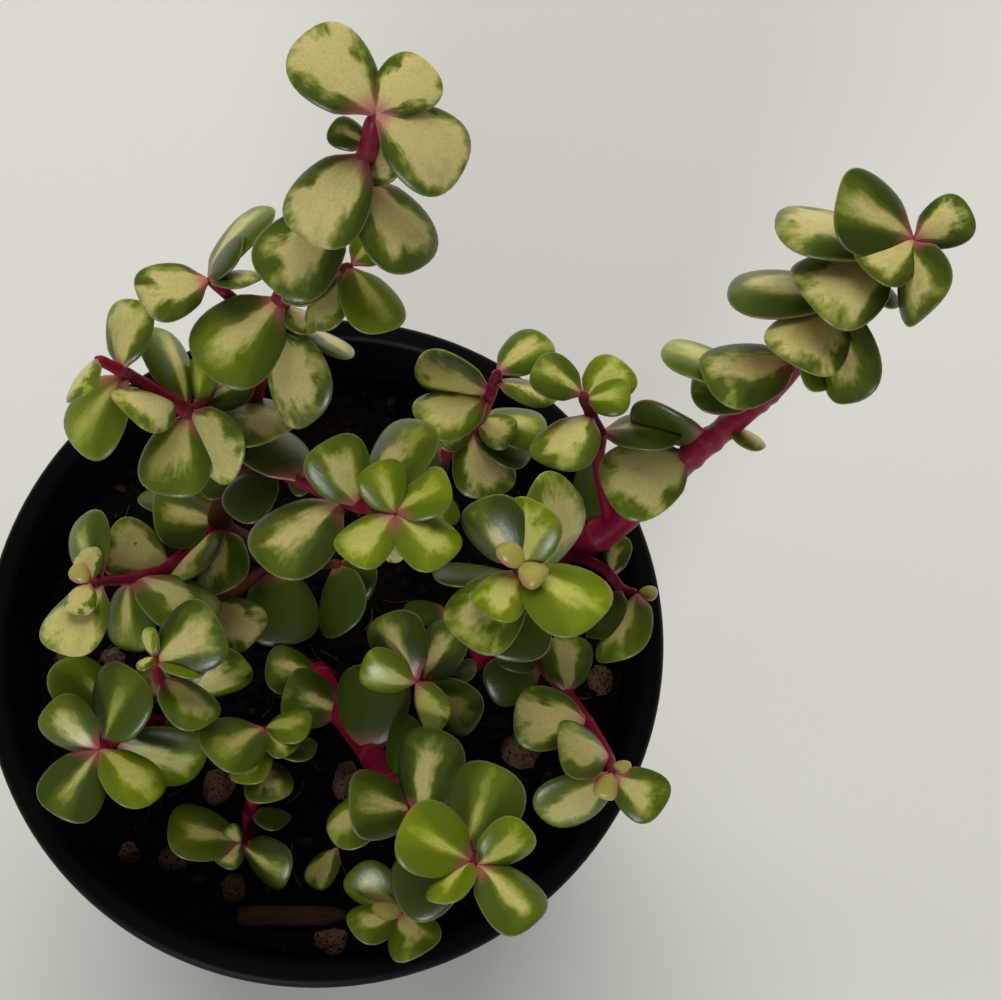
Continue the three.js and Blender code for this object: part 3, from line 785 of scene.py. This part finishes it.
def grow_stem(bm, layer, shoot, seed):
    """A tapered stem, swollen where its leaves stand, rounded off at its tip."""
    close, distances = line_through(shoot["route"])
    span = distances[-1]
    steps = max(6, round(span / STEM_STEP))
    stations = [span * k / steps for k in range(steps + 1)]
    foot, tip = shoot["thick"]
    leaves_at = [min(row[0], span) for row in shoot["leaves"]]
    line, radii, nearness = [], [], []
    for station in stations:
        gap = min((abs(station - at) for at in leaves_at), default=span)
        near = math.exp(-(gap / NODE_REACH) ** 2)
        lumpy = noise.noise(Vector((station * 0.35, seed * 3.1, 0)))
        radius = (foot + (tip - foot) * station / span) / 2
        radius *= 1 + NODE_SWELL * near + STEM_LUMPS * lumpy
        radius *= math.sqrt(min(1, (span - station) / (0.8 * tip) + 0.12))
        line.append(point_at(close, distances, station) * MM)
        radii.append(radius * MM)
        nearness.append(near)
    for point, near, ring in zip(line, nearness, grow_rod(bm, line, radii, STEM_SIDES)):
        age = min(1, max(0, (shoot["brown"] - point.z / MM) / BROWN_FADE + 0.5))
        for vert in ring:
            vert[layer] = (age, near, (seed * 0.37) % 1, 1)


stem = Finish("stem", {
    "Specular IOR Level": 0.2,
    "Subsurface Weight": 0.08,
    "Subsurface Radius": (0.9, 0.3, 0.3),
    "Subsurface Scale": 0.001,
})
age, scar, number = stem.split(stem.reading("growth")[1])
spot = stem.place()
blush = stem.grain(spot, 260, 4, 0.6)
speckle = stem.grain(spot, 1500, 3, 0.6)
fresh = stem.mix(blush, FRESH_DARK, FRESH_MAGENTA)
old = stem.mix(speckle, OLD_DARK, OLD_BROWN)
colour = stem.mix(stem.ramp(age + (blush - 0.5) * 0.5, 0.25, 0.75), fresh, old)
colour = stem.mix(stem.ramp(scar * (0.5 + speckle), 0.62, 0.85) * 0.4, colour, SCAR_BROWN)
stem.surface(
    colour=colour,
    roughness=0.34 + age * 0.3 + speckle * 0.1,
    height=speckle + scar * 0.5 + blush,
    relief=0.00025,
    strength=0.5)


def set_plant(name, shoots, seed):
    """One plant: its stems as one piece and its leaves as another.

    A shoot has the points that its stem runs through, its thickness at foot and tip, the height
    below which it is brown, and its leaves. A leaf has how far along the stem it stands, its
    heading seen from above, its lift above level, its length, its turn about its own axis, and
    its look.
    """
    stems = bmesh.new()
    growth = stems.verts.layers.float_color.new("growth")
    leaves = bmesh.new()
    draw = draws(seed)
    for number, shoot in enumerate(shoots):
        grow_stem(stems, growth, shoot, seed + number)
        close, distances = line_through(shoot["route"])
        for at, heading, lift, length, turn, look in shoot["leaves"]:
            foot = point_at(close, distances, at)
            grow_leaf(leaves, foot, heading, lift, length, turn, look, draw)
    bmesh.ops.recalc_face_normals(stems, faces=stems.faces)
    set_in_place(stems, f"{name}_stems", stem, f"stem_{name}")
    set_in_place(leaves, f"{name}_leaves", leaf, f"stem_{name}")


# ---------- Tall plant ----------
# The plant that leans back over the rim: a brown foot, a tallest shoot with the palest leaves,
# and side shoots to the left, the middle and the front, some of them in the shade below.

TALL_SHOOTS = [
    {
        "route": [
            (-3, 12.5, 68), (-7.5, 13.5, 78), (-12, 15, 88), (-15.5, 16, 98), (-11.5, 20, 110),
            (-9.5, 24, 118),
        ],
        "thick": (4.2, 3.2),
        "brown": 112,
        "leaves": [
            (15, -80, -10, 13.5, 0, "g0"), (31, -85, 15, 11.5, 30, "f0"),
            (32, -120, 25, 14, 50, "w0"), (33, 150, -20, 14, 50, "s0"),
            (32, 180, 40, 12, 10, "s0"), (45, -155, 15, 5.5, 20, "g0"),
        ],
    },
    {
        "route": [
            (-9.5, 24, 118), (-7, 28.5, 126), (-2.5, 35, 140), (5, 40, 152), (10, 45, 162),
            (12, 48, 170),
        ],
        "thick": (3, 2.4),
        "brown": 78,
        "leaves": [
            (62, 135, 15, 13, 10, "c0"), (62, 45, 0, 9.5, 10, "c0"), (62, -25, -25, 13, 0, "c0"),
            (56, 150, 5, 5.5, 10, "s0"), (51, 10, 40, 7, 0, "w0"),
            (55, -130, -10, 13.5, 10, "c0"), (51, -55, -15, 14, -30, "w0"),
            (45, -135, -10, 13.5, 0, "w0"), (27, -135, -5, 14.5, 0, "f1"),
            (22, -65, -5, 15, 50, "c0"), (22, -20, -10, 12, -60, "f0"),
            (25, -35, 5, 6.5, -40, "w1"),
        ],
    },
    {
        "route": [
            (1.5, 37, 146), (5.5, 36.5, 148), (8, 36.5, 150),
        ],
        "thick": (1.6, 1.2),
        "brown": 78,
        "leaves": [
            (8, 50, -5, 6.5, 0, "s2"), (7, -60, 0, 10.5, -30, "s2"), (6, -110, -5, 9, 40, "w1"),
            (5, -135, 15, 8.5, 40, "s1"),
        ],
    },
    {
        "route": [
            (-4.5, 32, 133), (-8, 35.5, 138), (-12, 38, 142),
        ],
        "thick": (2.2, 1.4),
        "brown": 78,
        "leaves": [
            (13, -155, 15, 10, 0, "w0"), (13, 55, 0, 13, -50, "f1"),
            (13, 30, 40, 7.8, -40, "g0"), (13, -10, 20, 8, -50, "w0"),
        ],
    },
    {
        "route": [
            (-9.5, 24, 118), (-12.5, 27, 122), (-16, 24.5, 126), (-18, 25, 128),
            (-22.5, 27, 132), (-27.5, 28.5, 137),
        ],
        "thick": (2.6, 1.5),
        "brown": 78,
        "leaves": [
            (15, -145, 50, 10.5, 10, "c1"), (12, -105, -5, 12.5, 10, "f1"),
            (12, -50, 10, 12, 50, "c1"), (6, -35, 30, 14, -30, "f0"),
            (10, 85, 20, 7.5, -40, "s2"), (9, 25, 20, 8.5, -30, "s0"),
            (13, 110, 0, 13, 60, "s1"), (28, -110, 15, 7.5, 50, "c1"),
            (24, 80, 15, 10, -30, "w1"), (23, -130, -25, 13, 20, "s2"),
        ],
    },
    {
        "route": [
            (-11.5, 20, 110), (-6, 19.5, 116), (0, 15, 123), (6, 10.5, 129), (13.5, 7, 135),
        ],
        "thick": (2.6, 1.6),
        "brown": 115,
        "leaves": [
            (38, 115, 35, 7.8, 0, "s2"), (38, 27, 20, 8.8, -20, "s2"),
            (38, -135, 10, 9.5, 20, "f2"), (38, -43, 5, 10, -20, "f2"),
            (38, -95, -20, 6.5, 50, "w1"), (31, 120, 35, 10.5, 0, "f1"),
            (28, -140, 5, 14.5, 20, "f0"), (34, 65, 0, 14, -40, "f1"),
            (18, 130, -20, 12, 30, "g0"), (14, -45, 10, 4, 0, "g0"),
            (10, -130, 0, 9.5, 20, "g0"),
        ],
    },
    {
        "route": [
            (-15.5, 16, 98), (-22, 8.5, 102), (-26.5, 5.5, 106), (-30, 4, 110), (-31.5, 3, 113),
        ],
        "thick": (2.4, 1.4),
        "brown": 78,
        "leaves": [
            (17, -35, 10, 13.5, -40, "f1"), (18, -95, -25, 11, 30, "s1"),
            (11, 165, 40, 11, 0, "w1"), (24, 110, -10, 11, -40, "s1"),
            (24, -115, 5, 12, 20, "c1"), (26, 105, -10, 5.5, -20, "c1"),
            (27, -110, 15, 5.5, 10, "c1"), (27, 140, 15, 3.5, 0, "c3"),
        ],
    },
    {
        "route": [
            (-9.5, 13.5, 83), (-13.5, 8, 88), (-17.5, 4, 94), (-19, -3.5, 98), (-19.5, -10, 98),
        ],
        "thick": (2, 1.4),
        "brown": 200,
        "leaves": [
            (16, -40, 15, 10.5, 0, "c0"), (32, 25, 15, 10.5, 50, "w1"),
        ],
    },
    {
        "route": [
            (-8.5, 13.5, 80), (-0.5, 12.5, 86), (2.5, 10.5, 94),
        ],
        "thick": (1.8, 1.4),
        "brown": 200,
        "leaves": [
            (17, -80, 15, 12, 40, "g0"), (16, -35, 15, 8, 30, "g0"),
        ],
    },
]

set_plant("tall", TALL_SHOOTS, 17)

# ---------- Left plant ----------
# Two shoots at the left of the pot: one leans out and ends in a flat rosette, one stands up
# beside it.

LEFT_SHOOTS = [
    {
        "route": [
            (-21.5, -11.5, 68), (-23.5, -12.5, 78), (-26.5, -13, 88), (-30, -16.5, 95),
            (-31.5, -19, 100),
        ],
        "thick": (3, 1.8),
        "brown": 78,
        "leaves": [
            (33, 65, 30, 13, -20, "v1"), (35, 140, 15, 10, -30, "f1"),
            (35, -120, 10, 11.5, 0, "v0"), (35, -40, 0, 11.5, -40, "f2"),
            (30, -15, -20, 14, 50, "f1"), (29, 125, 5, 14.5, 50, "v1"),
        ],
    },
    {
        "route": [
            (-23.5, -12.5, 78), (-22, -11, 96), (-22, -9.5, 108), (-21.5, -8, 114),
        ],
        "thick": (2.2, 1.5),
        "brown": 78,
        "leaves": [
            (35, 25, 25, 11.8, 10, "f0"), (35, -10, 0, 7.5, -50, "s2"),
            (29, -40, 5, 10.5, -40, "f1"), (36, 105, 15, 4.5, -50, "w2"),
            (36, -140, 20, 3, 40, "w1"), (15, -60, 15, 7.5, 0, "s0"), (15, 120, 15, 8, 0, "w0"),
        ],
    },
]

set_plant("left", LEFT_SHOOTS, 23)

# ---------- Front left plant ----------
# A small upright shoot at the front left, with a seedling-like side shoot close to the mix.
# Its foot is buried in the mix.

FRONT_LEFT_SHOOTS = [
    {
        "route": [
            (-13, -30, 68), (-12, -29, 77), (-11, -25.5, 84), (-8.5, -19.5, 92),
            (-7.5, -15.5, 99),
        ],
        "thick": (2.4, 1.5),
        "brown": 78,
        "leaves": [
            (35, -145, 40, 11.5, 10, "s1"), (35, 5, 15, 7.5, -30, "f2"),
            (35, -40, 15, 6, -30, "f1"), (33, -110, 15, 8, 30, "f2"), (32, -10, 0, 8, -50, "g0"),
            (28, -75, 30, 8.5, 0, "f0"), (16, -15, 10, 6.5, -50, "g0"),
        ],
    },
    {
        "route": [
            (-12, -29, 77.5), (-12, -30.5, 82), (-12, -31, 86),
        ],
        "thick": (1.8, 1.4),
        "brown": 78,
        "leaves": [
            (9, 170, 20, 11.5, 30, "s1"), (6, -35, 15, 9.5, 40, "s0"),
            (9, 135, 30, 3.5, 0, "w1"), (9, -125, 25, 5, 10, "w0"),
        ],
    },
]

set_plant("front_left", FRONT_LEFT_SHOOTS, 29)

# ---------- Front plant ----------
# A thick magenta shoot that comes forward and ends in a broad rosette, with a drooping side
# shoot by the rim.

FRONT_SHOOTS = [
    {
        "route": [
            (-6, 3, 66), (-2, -3.5, 76), (3, -11, 83), (10, -21.5, 94), (17, -31, 105),
            (24, -37, 114),
        ],
        "thick": (5, 2.6),
        "brown": 70,
        "leaves": [
            (69, 155, 25, 12, 0, "v2"), (67, 70, 15, 13.5, -20, "v1"), (70, 35, 15, 9, 40, "f2"),
            (70, -45, 5, 11.5, -30, "s1"), (69, -130, 25, 8.5, 50, "s2"),
            (68, -155, -20, 12.2, 10, "g0"), (52, 175, 40, 11.8, 10, "s0"),
            (55, 80, 15, 13.5, -30, "f0"), (46, -145, -5, 12, 40, "f1"),
            (36, 90, 15, 14, -20, "g0"), (44, 75, 15, 10.5, -50, "g0"),
            (23, 165, 30, 10.5, 0, "s0"), (14, 168, 26, 9.5, 12, "f0"),
        ],
    },
    {
        "route": [
            (17, -31, 105), (16.5, -36, 94), (13, -40.5, 88), (12.5, -42, 90),
        ],
        "thick": (2, 1.4),
        "brown": 78,
        "leaves": [
            (21, 145, 20, 10, -40, "f1"), (23, -160, 25, 8.5, 30, "f1"),
            (23, -60, 40, 9.5, 0, "f1"), (22, -165, 35, 5, 20, "c3"),
        ],
    },
]

set_plant("front", FRONT_SHOOTS, 35)

# ---------- Right plant ----------
# The plant that reaches far out to the right: one long thick shoot, an upright one right of
# the middle, a low one towards the rim, and twigs between them.

RIGHT_SHOOTS = [
    {
        "route": [
            (30.5, 1.5, 68), (30.5, 2, 78), (30.5, 1.5, 108), (30, 0.5, 132),
        ],
        "thick": (4, 2),
        "brown": 84,
        "leaves": [
            (64, 125, 40, 4.6, 0, "c3"), (64, -40, 35, 4.6, 0, "c3"),
            (64, 70, 40, 10, -20, "w2"), (62, -125, 15, 8.5, 10, "w2"),
            (62, -35, 15, 13.5, -20, "s2"), (60, -130, 0, 12.5, 10, "w1"),
            (52, -95, 0, 11, 0, "g0"), (64, 125, 25, 11, -40, "s0"),
            (61, 60, -5, 14.5, 50, "w1"), (54, 175, 5, 12.5, 60, "g0"),
            (36, -10, 15, 8.5, 10, "s0"), (36, 170, 15, 8, -10, "g0"), (20, 80, 20, 8, 10, "f0"),
            (20, -100, 10, 7.5, -10, "g0"),
        ],
    },
    {
        "route": [
            (30.5, 2, 78), (24, -3.5, 87), (19, -8.5, 96), (15, -9.5, 103),
        ],
        "thick": (2.4, 1.5),
        "brown": 78,
        "leaves": [
            (32, 115, 15, 11, -30, "s0"), (32, 165, 10, 8.5, -40, "f2"),
            (32, -60, 15, 8.5, 50, "w2"), (30, -35, 0, 10, 40, "f0"),
            (30, 60, 15, 10, -30, "f0"), (28, 20, 15, 7.5, -50, "g0"),
        ],
    },
    {
        "route": [
            (24, -3.5, 87), (21.5, 2, 85), (19.5, 4.5, 86),
        ],
        "thick": (1.4, 1.2),
        "brown": 78,
        "leaves": [
            (10, 180, 10, 7.5, 40, "g0"),
        ],
    },
    {
        "route": [
            (30.5, 2, 78), (35, -5.5, 88), (39.5, -12.5, 94), (43, -19.4, 99),
            (43.5, -23.3, 102),
        ],
        "thick": (2.4, 1.4),
        "brown": 88,
        "leaves": [
            (19, 90, 15, 9, 0, "f1"), (10, -155, 0, 9.5, -30, "g0"),
            (26, 175, 10, 11.5, 0, "w0"), (34, 170, 40, 10.5, 20, "w1"),
            (37, -150, -20, 12.5, -50, "w1"), (37, -35, 0, 9, 10, "f1"),
            (36, 0, 15, 3, -30, "c3"), (37, -110, 15, 4.2, 0, "c3"),
        ],
    },
    {
        "route": [
            (30.5, 2, 79), (34, 11, 94), (43.5, 13.5, 104), (54, 19.5, 120), (61.5, 22.5, 134),
            (65, 24, 142), (71, 30.5, 150), (76, 34, 154), (79.5, 36.5, 158),
        ],
        "thick": (6, 1.7),
        "brown": 92,
        "leaves": [
            (53, -155, -5, 13.5, 0, "c1"), (58, 160, -5, 12, -80, "g0"),
            (80, -165, 5, 13, 20, "w0"), (70, 170, 5, 9.5, 30, "f0"),
            (73, 155, 0, 15.5, 50, "f1"), (62, -35, 5, 6, -50, "w1"),
            (89, -130, 20, 12.5, 10, "c0"), (91, 170, -10, 15.5, 40, "f0"),
            (98, -150, 15, 14, 10, "w0"), (100, 165, 0, 16.5, 40, "w0"),
            (90, -85, -15, 13, 60, "f0"), (81, -65, 0, 5.5, -40, "v2"),
            (95, -60, 5, 5, -40, "g1"), (103, 165, 30, 13, 0, "s0"), (103, 25, 15, 8, 0, "w0"),
            (103, -140, 20, 9.5, 5, "w0"), (102, -85, 15, 11.5, 60, "f0"),
            (30, 95, 15, 11, -50, "g0"),
        ],
    },
    {
        "route": [
            (44, 13.5, 104), (41.5, 20, 116), (41.5, 22.5, 121), (40, 24, 126), (38.5, 26, 130),
        ],
        "thick": (2.4, 1.5),
        "brown": 78,
        "leaves": [
            (29, 150, 15, 8, 10, "s1"), (28, 45, -10, 8.5, 0, "w2"), (28, 0, 15, 6.5, 0, "s2"),
            (25, -125, 15, 11, 20, "w1"), (20, 0, 10, 12, -40, "s0"),
        ],
    },
    {
        "route": [
            (38.5, 11, 98), (43, 8.5, 99), (45.5, 5.5, 99), (48, 4.5, 100),
        ],
        "thick": (1.8, 1.3),
        "brown": 78,
        "leaves": [
            (12, -110, 15, 12.5, 50, "f1"), (7, 80, 5, 6.5, -40, "f0"),
            (12, -5, 20, 3, -30, "c3"), (9, -115, 5, 9, 50, "g0"),
        ],
    },
]

set_plant("right", RIGHT_SHOOTS, 41)

# ---------- Back plant ----------
# A single upright stem behind the middle, with rounded, mostly shaded leaves. Its foot is
# buried in the mix.

BACK_SHOOTS = [
    {
        "route": [
            (14.5, 25, 68), (16, 25.5, 78), (18.5, 27.5, 94), (24, 28.5, 110), (25.5, 29, 118),
            (27, 30.5, 126),
        ],
        "thick": (2.6, 1.6),
        "brown": 96,
        "leaves": [
            (54, 160, 10, 11.5, -70, "w1"), (52, -155, 10, 11.2, 20, "w1"),
            (59, 40, 0, 9, -20, "f1"), (57, -20, 5, 9.5, -50, "w1"),
            (43, -30, 15, 6.5, 10, "w1"), (40, -75, -5, 11, -10, "w0"),
            (41, -155, 15, 6.5, 0, "f0"), (43, -5, -10, 10.5, -30, "s1"),
            (40, -30, -5, 10, -40, "s0"), (28, -170, 15, 8, -10, "g0"),
            (15, 100, 20, 8, 0, "f0"), (15, -80, 10, 7.5, 0, "v1"),
        ],
    },
]

set_plant("back", BACK_SHOOTS, 47)

# ---------- Fallen leaf ----------
# A small leaf that has dropped off its stem. It lies loose on the mix at the front, face up,
# and is marked like the leaves that still grow.

bm = bmesh.new()
grow_leaf(bm, Vector((2, -30.9, 78)), -122, 0, 7.2, 35, "w1", draws(97))
set_in_place(bm, "dropped_leaf", leaf, "fallen_leaf")

# ---------- Floor ----------
# A plain pale table top with a fine grain, far wider than the pot that stands on it. It isn't
# part of the object.

# In metres, from the middle to each side.
FLOOR_REACH = 3.0

bm = bmesh.new()
bmesh.ops.create_grid(bm, x_segments=2, y_segments=2, size=FLOOR_REACH)
mesh = bpy.data.meshes.new("floor")
bm.to_mesh(mesh)
bm.free()
table = Finish("pale_table", {"Roughness": 0.75, "Specular IOR Level": 0.15})
spot = table.place()
table.surface(
    colour=table.mix(
        table.grain(spot, 9, 3, 0.5), (0.74, 0.725, 0.67), (0.77, 0.76, 0.71)),
    height=table.grain(spot, 900, 3, 0.6),
    relief=0.0001,
    strength=0.25)
mesh.materials.append(table.material)
floor = bpy.data.objects.new("floor", mesh)
scene.collection.objects.link(floor)

# ---------- Light ----------
# Soft daylight in a dim pale room: one large window high at the back, weak light from the left
# and the right, and a small cool window low at the front left, the only one seen in the gloss.

# Each lamp's name, its place and width in metres, its power and its colour.
LAMPS = [
    ("back_window", (0.02, 1.15, 1.25), 1.4, 26.0, (1.0, 0.985, 0.955)),
    ("front_window", (-0.35, -1.05, 0.55), 0.34, 6.6, (0.9, 0.96, 1.0)),
    ("left_window", (-1.2, 0.1, 1.0), 0.8, 1.4, (1.0, 0.985, 0.95)),
    ("right_fill", (1.2, 0.2, 1.0), 0.9, 2.6, (1.0, 0.98, 0.94)),
]
LAMP_AIM = Vector((0.0, 0.0, 0.1))
ROOM_COLOUR = (1.0, 0.985, 0.96, 1)
ROOM_LIGHT = 0.1

for name, place, size, power, colour in LAMPS:
    lamp = bpy.data.lights.new(name, "AREA")
    lamp.shape = "SQUARE"
    lamp.size = size
    lamp.energy = power
    lamp.color = colour
    holder = bpy.data.objects.new(name, lamp)
    holder.location = place
    holder.rotation_euler = (LAMP_AIM - Vector(place)).to_track_quat("-Z", "Y").to_euler()
    holder.visible_glossy = (name == "front_window")
    scene.collection.objects.link(holder)

world = bpy.data.worlds.new("room")
world.use_nodes = True
sky = world.node_tree.nodes["Background"]
sky.inputs["Color"].default_value = ROOM_COLOUR
sky.inputs["Strength"].default_value = ROOM_LIGHT
scene.world = world
scene.view_settings.view_transform = "Standard"

# ---------- Camera ----------
# It looks down at the pot from the front, 16 degrees off the vertical, from about 0.3 m above
# the rim and a little to the right of the pot's axis.

# In metres.
CAMERA_PLACE = (0.0273, -0.0646, 0.3918)
CAMERA_TILT = 16
CAMERA_LENS = 71.93
CAMERA_SENSOR = 36
NEAREST_SEEN = 0.01

camera = bpy.data.objects.new("camera", bpy.data.cameras.new("camera"))
camera.data.sensor_width = CAMERA_SENSOR
camera.data.lens = CAMERA_LENS
camera.location = CAMERA_PLACE
camera.rotation_euler = (math.radians(CAMERA_TILT), 0, 0)
camera.data.clip_start = NEAREST_SEEN
scene.collection.objects.link(camera)
scene.camera = camera
